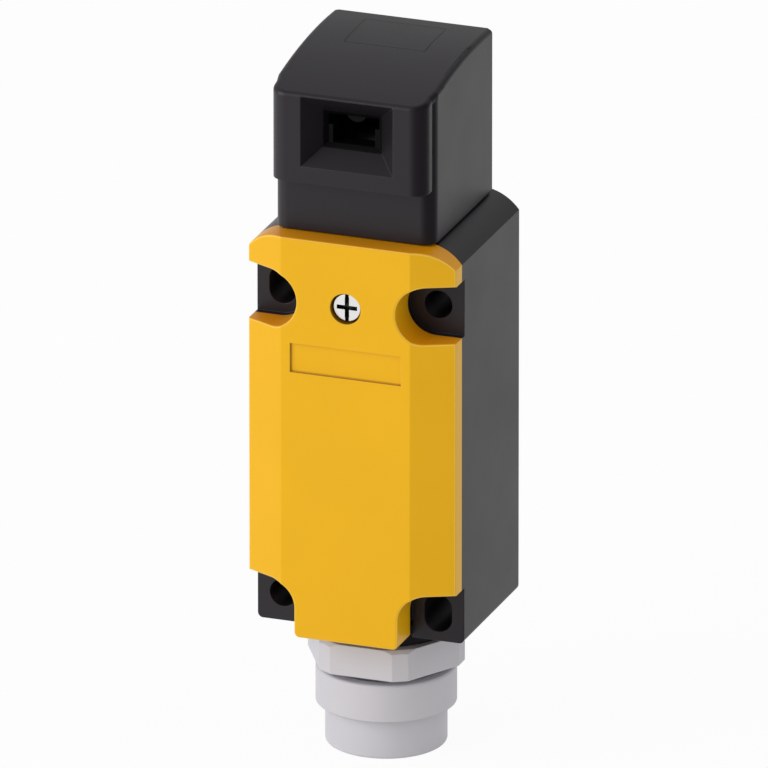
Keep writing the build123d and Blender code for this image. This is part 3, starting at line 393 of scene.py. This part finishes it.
def plated(name, colour, roughness, brushed=(1, 1, 1), edge=0.08 * MM):
    """Plated or rolled metal with fine drawn lines, faint stains and bright edges."""
    material = bpy.data.materials.new(name)
    tree = Shader(material)
    lines = tree.noise(DRAWN_LINE, detail=2.0, stretch=brushed)
    stains = tree.noise(STAIN_SIZE, detail=4.0)
    base = tree.mix(stains, lighter(colour, STAIN_DARK), lighter(colour, STAIN_LIGHT))
    shine = tree.edges(edge, METAL_EDGE_GAIN)
    bright = tree.mix(shine, base, lighter(colour, METAL_EDGE_LIGHT))
    normal = tree.bump(lines, DRAWN_RELIEF, DRAWN_DEPTH, tree.rounded(edge))
    rough = roughness + (stains - 0.5) * STAIN_ROUGH + (lines - 0.5) * DRAWN_ROUGH
    tree.surface({"Metallic": 1.0},
                 {"Base Color": bright, "Roughness": rough, "Normal": normal})
    return material


def soft_rubber(name, colour, roughness):
    """Seal rubber with a dull bloom."""
    material = bpy.data.materials.new(name)
    tree = Shader(material)
    bloom = tree.noise(BLOOM_SIZE, detail=4.0, rough=0.6)
    pores = tree.noise(PORE_SIZE, detail=2.0)
    base = tree.mix(bloom, rgba(colour), lighter(colour, BLOOM_LIGHT))
    normal = tree.bump(pores, PORE_RELIEF, PORE_DEPTH, tree.rounded(RUBBER_EDGE))
    rough = roughness + (bloom - 0.5) * BLOOM_ROUGH
    tree.surface({"Specular IOR Level": RUBBER_GLOSS},
                 {"Base Color": base, "Roughness": rough, "Normal": normal})
    return material


def plug_joint_shade(tree):
    """1 in the thin joint round the plug of the upper tongue entry, where shade is painted."""
    across = tree.math("ABSOLUTE", tree.along("X"))
    deep = tree.math("ABSOLUTE", tree.along("Y") - PLUG_MID.y)
    inside = tree.math("MINIMUM", PLUG_HALF.x - across, PLUG_HALF.y - deep)
    return tree.smooth(inside, 0.5 * PLUG_JOINT, PLUG_JOINT, 1.0, 0.0)


def funnel_shade(tree):
    """Painted shade: 1 on the walls of the tongue funnel, 0 on the face round it."""
    y = tree.along("Y")
    deep = tree.smooth(y, FUNNEL_FRONT, FUNNEL_FRONT + FADE)
    near = tree.smooth(y, THROAT, THROAT + FADE, FUNNEL_SHADE, 0.0)
    x = tree.math("ABSOLUTE", tree.along("X"))
    across = tree.smooth(x, FUNNEL_HALF_W, FUNNEL_HALF_W + FADE, 1.0, 0.0)
    z = tree.math("ABSOLUTE", tree.along("Z") - FUNNEL_Z)
    return deep * near * across * tree.smooth(z, FUNNEL_HALF_H, FUNNEL_HALF_H + FADE, 1.0, 0.0)


def screw_bore_shade(tree):
    """Painted shade: 1 in the gap round the head of the cover screw."""
    x = tree.along("X")
    z = tree.along("Z") - COVER_SCREW_SEAT[2] * MM
    reach = tree.math("SQRT", x * x + z * z)
    inside = tree.smooth(reach, BORE_R, BORE_R + BORE_GAP, 1.0, 0.0)
    floor = COVER_FRONT + BORE_DEPTH
    return inside * tree.smooth(tree.along("Y"), COVER_FRONT, floor, 0.0, BORE_SHADE)


def label_shade(tree):
    """Painted shade along the left and lower walls of the label recess."""
    x, z = tree.along("X"), tree.along("Z")
    left, low = x + LABEL_HALF_W, z - LABEL_LOW
    corner = tree.math("MINIMUM", left, low)
    near = tree.smooth(corner, LABEL_LINE * 0.5, LABEL_LINE, LABEL_SHADE, 0.0)
    inside = tree.math("MINIMUM", corner, tree.math("MINIMUM", LABEL_HALF_W - x, LABEL_H - low))
    return near * tree.math("GREATER_THAN", inside, -LABEL_MARGIN)


def cover_shade(tree):
    """Both painted shades of the cover: round its screw and in its label recess."""
    return tree.math("MAXIMUM", screw_bore_shade(tree), label_shade(tree))


def cover_rim_highlight(tree):
    """1 on the rounded edges between the front of the cover and its walls: a painted highlight."""
    front = tree.facing((0, -1, 0))
    return tree.smooth(front, *RIM_FROM_WALL) * tree.smooth(front, *RIM_TO_FRONT, RIM_SHINE, 0.0)


def gland_groove_shade(tree):
    """Painted shade: 1 in the groove between the hexagon and the cap nut."""
    z = tree.along("Z")
    above = tree.smooth(z, GLAND_TOP - FADE, GLAND_TOP)
    high = GLAND_TOP + GROOVE_H
    return above * tree.smooth(z, high - FADE, high, GROOVE_SHADE, 0.0)


# Colours of the plastics, metals and seals, among them darker ones that paint shade
BLACK = (0.0132, 0.0097, 0.0138)
# The guide's black is darker than the housing's: painted shade deep in the funnel.
GUIDE_SHADED_BLACK = (0.0025, 0.0024, 0.0025)
YELLOW = (0.835, 0.442, 0.004)
# Deeper yellow of the faces that look up: painted shade.
SHADED_TOP_YELLOW = (0.76, 0.30, 0.002)
GREY = (0.60, 0.585, 0.622)
BLOCK_GREY = (0.30, 0.31, 0.33)
CREAM = (0.78, 0.77, 0.73)
BRIGHT_STEEL = (0.9, 0.89, 0.885)
SPRING_STEEL = (0.55, 0.55, 0.57)
BRASS = (0.78, 0.58, 0.27)
# The cam's steel is made dark so that the slot in front of it looks black: painted shade.
CAM_SHADED_STEEL = (0.045, 0.045, 0.048)
# Dark steel inside the slots and crosses of screw heads: painted shade.
RECESS_SHADE_STEEL = (0.07, 0.068, 0.07)
RUBBER = (0.012, 0.012, 0.013)

# The finish of each material slot, and of the nodes that have one of their own: these carry painted
# shade, and the cover a painted highlight too
MATERIALS = {
    "black_moulding": moulded("black_moulding", BLACK, 0.38, gloss=0.37),
    # The yellow's strongly lightened edges are mostly a painted highlight, and its faces that look up
    # take painted shade.
    "yellow_moulding": moulded("yellow_moulding", YELLOW, 0.34, gloss=0.25, wear_and_highlight=0.9,
                               edge=COVER_EDGE, lift=COVER_EDGE_LIFT, top=SHADED_TOP_YELLOW),
    "grey_moulding": moulded("grey_moulding", GREY, 0.45, gloss=0.35, wear_and_highlight=0.1),
    "white_moulding": moulded("white_moulding", CREAM, 0.4, wear_and_highlight=0.02),
    "block_moulding": moulded("block_moulding", BLOCK_GREY, 0.5, wear_and_highlight=0.1),
    "plated_screw": plated("plated_screw", BRIGHT_STEEL, 0.24),
    "spring_steel": plated("spring_steel", SPRING_STEEL, 0.3, brushed=(1, 1, 0.1)),
    "contact_brass": plated("contact_brass", BRASS, 0.28, brushed=(0.1, 1, 1)),
    "cam_metal": plated("cam_metal", CAM_SHADED_STEEL, 0.45),
    "seal_rubber": soft_rubber("seal_rubber", RUBBER, 0.6),
}

RECESS = plated("screw_recess_shade", RECESS_SHADE_STEEL, 0.45)
NODE_MATERIALS = {
    # The cover carries painted shade round its screw, in its label recess and on faces that look up, and
    # a painted highlight on its edges and rims.
    "cover": moulded("cover_moulding", YELLOW, 0.34, gloss=0.25, wear_and_highlight=0.3, edge=COVER_EDGE,
                     lift=COVER_EDGE_LIFT, top=SHADED_TOP_YELLOW, painted_shade=cover_shade, rim_highlight=cover_rim_highlight),
    "gland_body": moulded("gland_moulding", GREY, 0.45, gloss=0.35, wear_and_highlight=0.1, painted_shade=gland_groove_shade),
    "head_housing": moulded("head_moulding", BLACK, 0.38, gloss=0.37, painted_shade=funnel_shade),
    "top_plug": moulded("plug_moulding", BLACK, 0.38, gloss=0.37, wear_and_highlight=0, painted_shade=plug_joint_shade),
    # The tongue guide's darker black paints the shade deep in the funnel.
    "tongue_guide": moulded("guide_moulding", GUIDE_SHADED_BLACK, 0.6, gloss=0.1, wear_and_highlight=0.1),
}


class Shaper(NodeTree):
    """The nodes of a geometry tree that has named inputs for its sizes."""

    def __init__(self, name, sizes):
        group = bpy.data.node_groups.new(name, "GeometryNodeTree")
        super().__init__(group)
        self.add_input("Points", "NodeSocketGeometry")
        for size in sizes:
            self.add_input(size, "NodeSocketFloat")
        self.add_input("Turn", "NodeSocketVector")
        self.add_input("Metal", "NodeSocketMaterial")
        self.add_input("Recess", "NodeSocketMaterial")
        group.interface.new_socket("Made", in_out="OUTPUT", socket_type="NodeSocketGeometry")
        self.inputs = self.node("NodeGroupInput")

    def add_input(self, name, kind):
        self.tree.interface.new_socket(name, in_out="INPUT", socket_type=kind)

    def given(self, name):
        """One of the tree's named inputs."""
        return self.out(self.inputs, name)

    def vector(self, x, y, z):
        """A vector from three values or sockets."""
        return self.out(self.node("ShaderNodeCombineXYZ", {}, {"X": x, "Y": y, "Z": z}), "Vector")

    def place(self):
        """The three coordinates of a point."""
        place = self.out(self.node("GeometryNodeInputPosition"), "Position")
        split = self.node("ShaderNodeSeparateXYZ", {}, {"Vector": place})
        return [self.out(split, axis) for axis in "XYZ"]

    def bar(self, radius, low, high, corners, rings=1):
        """A round bar along Z from low to high, and the field of its top face."""
        made = self.node("GeometryNodeMeshCylinder", {},
                         {"Vertices": corners, "Side Segments": rings, "Radius": radius,
                          "Depth": high - low})
        middle = self.vector(0.0, 0.0, (high + low) * 0.5)
        return self.moved(self.out(made, "Mesh"), middle), self.out(made, "Top")

    def moved(self, shape, offset):
        """The shape at another place."""
        made = self.node("GeometryNodeTransform", {}, {"Geometry": shape, "Translation": offset})
        return self.out(made, "Geometry")

    def block(self, x, y, depth, top):
        """A cutter that is depth deep below top, and as much above."""
        made = self.node("GeometryNodeMeshCube", {}, {"Size": self.vector(x, y, depth * 2)})
        return self.moved(self.out(made, "Mesh"), self.vector(0.0, 0.0, top))


def screw_head(tree):
    """A round head with a chamfered rim, a slot and a cross."""
    radius, height, rim = [tree.given(n) for n in ("Head Radius", "Head Height", "Rim Chamfer")]
    body, top = tree.bar(radius, 0.0, height - rim, SCREW_CORNERS)
    raised = tree.node("GeometryNodeExtrudeMesh", {},
                       {"Mesh": body, "Selection": top, "Offset": tree.vector(0.0, 0.0, rim),
                        "Offset Scale": 1.0, "Individual": False})
    narrowed = tree.node("GeometryNodeScaleElements", {},
                         {"Geometry": tree.out(raised, "Mesh"), "Selection": tree.out(raised, "Top"),
                          "Scale": (radius - rim) / radius})
    slot = tree.block(radius * 3, tree.given("Slot Width"), tree.given("Slot Depth"), height)
    arm = tree.given("Cross Length"), tree.given("Cross Width")
    cross = [tree.block(*size, tree.given("Cross Depth"), height) for size in (arm, arm[::-1])]
    cut = tree.node("GeometryNodeMeshBoolean", {"operation": "DIFFERENCE", "solver": "EXACT"},
                    {"Mesh 1": tree.out(narrowed, "Geometry"), "Mesh 2": [slot, *cross]})
    return tree.out(cut, "Mesh")


def screw_shank(tree):
    """A threaded shank with a narrowed tip, from inside the head downwards."""
    radius, length, pitch = [tree.given(n) for n in ("Shank Radius", "Shank Length", "Thread Pitch")]
    rings = length / pitch * RINGS_PER_TURN
    body, _ = tree.bar(radius, 0.0 - length, tree.given("Rim Chamfer"), THREAD_CORNERS, rings)
    x, y, z = tree.place()
    turned = tree.math("ARCTAN2", y, x) / (2 * math.pi)
    wave = tree.math("FRACT", z / pitch + turned)
    groove = tree.math("ABSOLUTE", wave * 2 - 1) * tree.given("Thread Depth") / radius
    tip = tree.smooth(z + length, 0.0, TIP_L, TIP_NARROWING, 0.0)
    factor = 1 - groove - tip
    made = tree.node("GeometryNodeSetPosition", {},
                     {"Geometry": body, "Position": tree.vector(x * factor, y * factor, z)})
    return tree.out(made, "Geometry")


# Sizes of a screw in millimetres, of which each set changes what it needs
SCREW_SIZES = {
    "Head Radius": 2.7, "Head Height": 2.6, "Rim Chamfer": 0.3, "Slot Width": 0.8,
    "Slot Depth": 0.9, "Cross Length": 3.9, "Cross Width": 1.0, "Cross Depth": 1.4,
    "Shank Radius": 2.0, "Shank Length": 8.4, "Thread Pitch": 0.7, "Thread Depth": 0.3,
}


def screw_tree():
    """Screws on points, with the head along the local Z axis before they are turned."""
    tree = Shaper("screws", SCREW_SIZES)
    joined = tree.node("GeometryNodeJoinGeometry", {},
                       {"Geometry": [screw_head(tree), screw_shank(tree)]})
    x, y, z = tree.place()
    reach = tree.math("SQRT", x * x + y * y)
    height = tree.given("Head Height")
    above = tree.math("GREATER_THAN", z, height * RECESS_LOW)
    sunk = above * tree.math("LESS_THAN", z, height * RECESS_HIGH)
    inner = tree.math("LESS_THAN", reach, tree.given("Head Radius") * RECESS_REACH)
    marked = tree.node("GeometryNodeStoreNamedAttribute", {"data_type": "BOOLEAN", "domain": "FACE"},
                       {"Geometry": tree.out(joined, "Geometry"), "Name": "recess",
                        "Value": sunk * inner})
    placed = tree.node("GeometryNodeInstanceOnPoints", {},
                       {"Points": tree.given("Points"), "Instance": tree.out(marked, "Geometry"),
                        "Rotation": tree.given("Turn")})
    real = tree.node("GeometryNodeRealizeInstances", {},
                     {"Geometry": tree.out(placed, "Instances")})
    metal = tree.node("GeometryNodeSetMaterial", {},
                      {"Geometry": tree.out(real, "Geometry"), "Material": tree.given("Metal")})
    # Faces inside the slot and the cross take the dark recess steel: painted shade.
    recess = tree.node("GeometryNodeInputNamedAttribute", {"data_type": "BOOLEAN"}, {"Name": "recess"})
    painted_shade = tree.node("GeometryNodeSetMaterial", {},
                     {"Geometry": tree.out(metal, "Geometry"), "Material": tree.given("Recess"),
                      "Selection": tree.out(recess, "Attribute")})
    tree.node("NodeGroupOutput", {}, {"Made": tree.out(painted_shade, "Geometry")})
    return tree.tree


def add_screws(name, node, body, seats, turn, sizes, group):
    """One plain mesh of a whole set of screws, in place of their CAD node."""
    points = bpy.data.meshes.new(name)
    points.from_pydata([tuple(c * MM for c in seat) for seat in seats], [], [])
    piece = bpy.data.objects.new(name, points)
    bpy.context.scene.collection.objects.link(piece)
    modifier = piece.modifiers.new("screws", "NODES")
    modifier.node_group = group
    values = {key: value * MM for key, value in {**SCREW_SIZES, **sizes}.items()}
    values.update({"Turn": turn, "Metal": MATERIALS["plated_screw"], "Recess": RECESS})
    for socket in group.interface.items_tree:
        if socket.name in values:
            modifier[socket.identifier] = values[socket.name]
    evaluated = piece.evaluated_get(bpy.context.evaluated_depsgraph_get())
    made = bpy.data.meshes.new_from_object(evaluated)
    piece.modifiers.clear()
    piece.data = made
    made.name = name
    made.shade_smooth()
    made.set_sharp_from_angle(angle=SMOOTH_ANGLE)
    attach(piece, body)
    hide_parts(node)


def add_all_screws():
    """The cover screw and the three sets of smaller screws, each on its own body."""
    group = screw_tree()
    forwards = (math.radians(90), 0, 0)
    down = (math.radians(180), 0, 0)
    upright = (math.radians(90), math.radians(90), 0)
    add_screws("cover_screw_detailed", "cover_screw", "cover_screw", [COVER_SCREW_SEAT], upright,
               {"Rim Chamfer": 0.15, "Slot Width": 0.7, "Cross Width": 0.8}, group)
    add_screws("terminal_screw_set", "terminal_screws", "body", TERMINAL_SEATS, forwards,
               {"Head Radius": 2.9, "Head Height": 2.4, "Cross Length": 3.4, "Cross Width": 0.7,
                "Cross Depth": 1.2, "Shank Radius": 1.5, "Shank Length": 6.2}, group)
    add_screws("block_screw_set", "block_screws", "body", BLOCK_SEATS, forwards,
               {"Head Radius": 1.75, "Head Height": 1.5, "Slot Width": 0.5, "Slot Depth": 0.6,
                "Cross Length": 2.2, "Cross Width": 0.5, "Cross Depth": 0.8, "Rim Chamfer": 0.2,
                "Shank Radius": 1.1, "Shank Length": 7.8, "Thread Pitch": 0.8}, group)
    add_screws("base_screw_set", "head_base_screws", "head", BASE_SEATS, down,
               {"Head Radius": 2.0, "Head Height": 0.85, "Slot Width": 0.4, "Slot Depth": 0.35,
                "Cross Length": 2.0, "Cross Width": 0.4, "Cross Depth": 0.35, "Rim Chamfer": 0.15,
                "Shank Radius": 1.1, "Shank Length": 6.1, "Thread Pitch": 0.8}, group)


def finish_cad_nodes():
    """Give every carried-over node the finish of its material slot."""
    for part in frame["record"]["subparts"]:
        node = frame["nodes"][part["node"]]
        if not node.material_slots:
            node.data.materials.append(None)
        for place in node.material_slots:
            place.material = NODE_MATERIALS.get(part["node"], MATERIALS[part["material_slot"]])


def add_camera():
    """A camera from the photograph's side, far away, with the photograph's scale."""
    data = bpy.data.cameras.new("photo_camera")
    data.sensor_width = SENSOR
    view_width = PHOTO_WIDTH_PX / PHOTO_PX_PER_MM * MM
    data.lens = SENSOR * CAMERA_DISTANCE / view_width
    data.clip_start = CAMERA_DISTANCE / CLIP_RATIO
    data.clip_end = CAMERA_DISTANCE * CLIP_RATIO
    camera = bpy.data.objects.new("photo_camera", data)
    bpy.context.scene.collection.objects.link(camera)
    back = compass(PHOTO_AZIMUTH, PHOTO_ELEVATION)
    camera.location = PHOTO_CENTRE + back * CAMERA_DISTANCE
    camera.rotation_euler = (-back).to_track_quat("-Z", "Y").to_euler()
    bpy.context.scene.camera = camera


def add_floor():
    """A pale floor that the camera sees as white, with the object's shadow on it."""
    mesh = bpy.data.meshes.new("studio_floor")
    low = cad_box[0].z
    corners = [(-1, -1), (1, -1), (1, 1), (-1, 1)]
    mesh.from_pydata([(x * FLOOR_HALF, y * FLOOR_HALF, low) for x, y in corners], [], [(0, 1, 2, 3)])
    floor = bpy.data.objects.new("studio_floor", mesh)
    bpy.context.scene.collection.objects.link(floor)
    material = bpy.data.materials.new("studio_floor")
    tree = Shader(material)
    camera, mirrored = tree.background_rays()
    away = tree.node("ShaderNodeVectorMath", {"operation": "SUBTRACT"}, {0: tree.place(), 1: DIM_ORIGIN})
    strength = camera + mirrored * tree.dimmed(tree.out(away, "Vector"))
    pale = tree.node("ShaderNodeBsdfDiffuse", {}, {"Color": rgba(FLOOR_COLOUR)})
    white = tree.node("ShaderNodeEmission", {}, {"Color": (1, 1, 1, 1), "Strength": strength})
    surfaces = {1: tree.out(pale, "BSDF"), 2: tree.out(white, "Emission")}
    factor = (camera + mirrored) * (1 - FLOOR_SHADOW)
    both = tree.node("ShaderNodeMixShader", {}, {0: factor, **surfaces})
    tree.end("ShaderNodeOutputMaterial", tree.out(both, "Shader"))
    mesh.materials.append(material)


def add_world():
    """Even soft light. The camera sees it white, and mirrors see it less bright above."""
    world = bpy.data.worlds.new("studio")
    bpy.context.scene.world = world
    tree = Shader(world)
    camera, mirrored = tree.background_rays()
    direction = tree.out(tree.node("ShaderNodeTexCoord"), "Generated")
    strength = camera + mirrored * tree.dimmed(direction) * SKY_MIRRORED
    strength = strength + (1 - camera - mirrored) * WORLD_LIGHT
    light = tree.node("ShaderNodeBackground", {}, {"Color": (1, 1, 1, 1), "Strength": strength})
    tree.end("ShaderNodeOutputWorld", tree.out(light, "Background"))


def add_lamp(name, azimuth, elevation, distance, size, power):
    """A square soft box that points at the object's middle."""
    data = bpy.data.lights.new(name, "AREA")
    data.shape = "SQUARE"
    data.size = size
    data.energy = power
    lamp = bpy.data.objects.new(name, data)
    bpy.context.scene.collection.objects.link(lamp)
    back = compass(azimuth, elevation)
    lamp.location = PHOTO_CENTRE + back * distance
    lamp.rotation_euler = (-back).to_track_quat("-Z", "Y").to_euler()


def add_studio():
    """World, floor and the one soft box."""
    add_world()
    add_floor()
    add_lamp("soft_box_left", **SOFT_BOX)
    bpy.context.scene.view_settings.view_transform = "Standard"


finish_cad_nodes()
add_all_screws()
add_camera()
add_studio()
